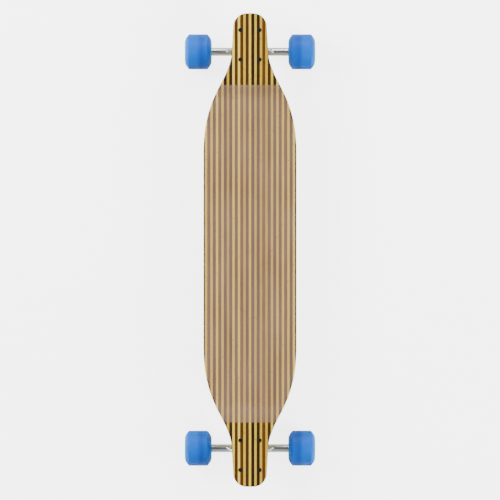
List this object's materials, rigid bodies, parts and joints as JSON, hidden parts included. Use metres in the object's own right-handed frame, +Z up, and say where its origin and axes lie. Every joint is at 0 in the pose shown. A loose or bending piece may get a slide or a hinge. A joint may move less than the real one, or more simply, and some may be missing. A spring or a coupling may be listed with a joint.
{
  "type": "longboard skateboard",
  "caption": "Drop-deck longboard: waisted wooden deck with a lowered platform, clear grip, steering reverse-kingpin trucks and wide translucent wheels on ball bearings.",
  "frame": {"origin": "on the ground under the middle of the deck, where the wheels stand", "axes": "+X to the nose along the deck, +Y to the left, +Z up"},
  "size_m": [1.016, 0.282, 0.124],
  "materials": {
    "core_plies": "clear lacquered plywood edge",
    "striped_veneer": "striped bamboo laminate, satin lacquer",
    "maple_veneer": "rotary-cut maple, satin lacquer",
    "clear_grip": "frosted clear grip with fine grit",
    "black_fasteners": "black zinc plated steel",
    "cast_aluminium": "tumbled casting",
    "polished_aluminium": "polished casting",
    "plated_steel": "zinc plated steel",
    "bushing_urethane": "black cast urethane",
    "blue_urethane": "translucent blue cast urethane",
    "bearing_steel": "ground bearing steel",
    "bearing_shield": "pressed steel shield"
  },
  "bodies": {
    "deck": {"deck_core": "core_plies", "deck_top_veneer": "striped_veneer", "deck_bottom_veneer": "maple_veneer", "grip_sheet": "clear_grip", "front_deck_bolts": "black_fasteners", "front_deck_nuts": "black_fasteners", "front_baseplate": "cast_aluminium", "front_kingpin": "black_fasteners", "front_kingpin_nut": "black_fasteners", "front_cup_washer": "black_fasteners", "front_board_bushing": "bushing_urethane", "front_road_bushing": "bushing_urethane", "front_pivot_cup": "bushing_urethane", "rear_deck_bolts": "black_fasteners", "rear_deck_nuts": "black_fasteners", "rear_baseplate": "cast_aluminium", "rear_kingpin": "black_fasteners", "rear_kingpin_nut": "black_fasteners", "rear_cup_washer": "black_fasteners", "rear_board_bushing": "bushing_urethane", "rear_road_bushing": "bushing_urethane", "rear_pivot_cup": "bushing_urethane"},
    "front_truck": {"front_hanger": "polished_aluminium", "front_axle": "plated_steel", "front_left_inner_rings": "bearing_steel", "front_left_spacer": "plated_steel", "front_left_speed_washers": "plated_steel", "front_left_axle_nut": "plated_steel", "front_right_inner_rings": "bearing_steel", "front_right_spacer": "plated_steel", "front_right_speed_washers": "plated_steel", "front_right_axle_nut": "plated_steel"},
    "rear_truck": {"rear_hanger": "polished_aluminium", "rear_axle": "plated_steel", "rear_left_inner_rings": "bearing_steel", "rear_left_spacer": "plated_steel", "rear_left_speed_washers": "plated_steel", "rear_left_axle_nut": "plated_steel", "rear_right_inner_rings": "bearing_steel", "rear_right_spacer": "plated_steel", "rear_right_speed_washers": "plated_steel", "rear_right_axle_nut": "plated_steel"},
    "front_left_wheel": {"front_left_wheel": "blue_urethane", "front_left_outer_rings": "bearing_steel", "front_left_shields": "bearing_shield"},
    "front_left_balls": {"front_left_ball_cages": "bearing_steel"},
    "front_right_wheel": {"front_right_wheel": "blue_urethane", "front_right_outer_rings": "bearing_steel", "front_right_shields": "bearing_shield"},
    "front_right_balls": {"front_right_ball_cages": "bearing_steel"},
    "rear_left_wheel": {"rear_left_wheel": "blue_urethane", "rear_left_outer_rings": "bearing_steel", "rear_left_shields": "bearing_shield"},
    "rear_left_balls": {"rear_left_ball_cages": "bearing_steel"},
    "rear_right_wheel": {"rear_right_wheel": "blue_urethane", "rear_right_outer_rings": "bearing_steel", "rear_right_shields": "bearing_shield"},
    "rear_right_balls": {"rear_right_ball_cages": "bearing_steel"}
  },
  "joints": [
    {"name": "front_steer", "type": "hinge", "parent": "deck", "child": "front_truck", "pos_m": [0.43868, 0, 0.06058], "axis": [0.7431, 0, 0.6691], "range_deg": [-15, 15], "stiffness_Nm_per_rad": 30, "deforming": ["front_board_bushing", "front_road_bushing"]},
    {"name": "rear_steer", "type": "hinge", "parent": "deck", "child": "rear_truck", "pos_m": [-0.43868, 0, 0.06058], "axis": [-0.7431, 0, 0.6691], "range_deg": [-15, 15], "stiffness_Nm_per_rad": 30, "deforming": ["rear_board_bushing", "rear_road_bushing"]},
    {"name": "front_left_wheel_spin", "type": "hinge", "parent": "front_truck", "child": "front_left_wheel", "pos_m": [0.429, 0.112, 0.038], "axis": [0, 1, 0], "continuous": true},
    {"name": "front_right_wheel_spin", "type": "hinge", "parent": "front_truck", "child": "front_right_wheel", "pos_m": [0.429, -0.112, 0.038], "axis": [0, 1, 0], "continuous": true},
    {"name": "rear_left_wheel_spin", "type": "hinge", "parent": "rear_truck", "child": "rear_left_wheel", "pos_m": [-0.429, 0.112, 0.038], "axis": [0, 1, 0], "continuous": true},
    {"name": "rear_right_wheel_spin", "type": "hinge", "parent": "rear_truck", "child": "rear_right_wheel", "pos_m": [-0.429, -0.112, 0.038], "axis": [0, 1, 0], "continuous": true},
    {"name": "front_left_balls_orbit", "type": "hinge", "parent": "front_truck", "child": "front_left_balls", "pos_m": [0.429, 0.105, 0.038], "axis": [0, 1, 0], "continuous": true},
    {"name": "front_right_balls_orbit", "type": "hinge", "parent": "front_truck", "child": "front_right_balls", "pos_m": [0.429, -0.105, 0.038], "axis": [0, 1, 0], "continuous": true},
    {"name": "rear_left_balls_orbit", "type": "hinge", "parent": "rear_truck", "child": "rear_left_balls", "pos_m": [-0.429, 0.105, 0.038], "axis": [0, 1, 0], "continuous": true},
    {"name": "rear_right_balls_orbit", "type": "hinge", "parent": "rear_truck", "child": "rear_right_balls", "pos_m": [-0.429, -0.105, 0.038], "axis": [0, 1, 0], "continuous": true}
  ],
  "couplings": [
    {"joint": "front_left_balls_orbit", "follows": "front_left_wheel_spin", "ratio": 0.6323},
    {"joint": "front_right_balls_orbit", "follows": "front_right_wheel_spin", "ratio": 0.6323},
    {"joint": "rear_left_balls_orbit", "follows": "rear_left_wheel_spin", "ratio": 0.6323},
    {"joint": "rear_right_balls_orbit", "follows": "rear_right_wheel_spin", "ratio": 0.6323}
  ]
}
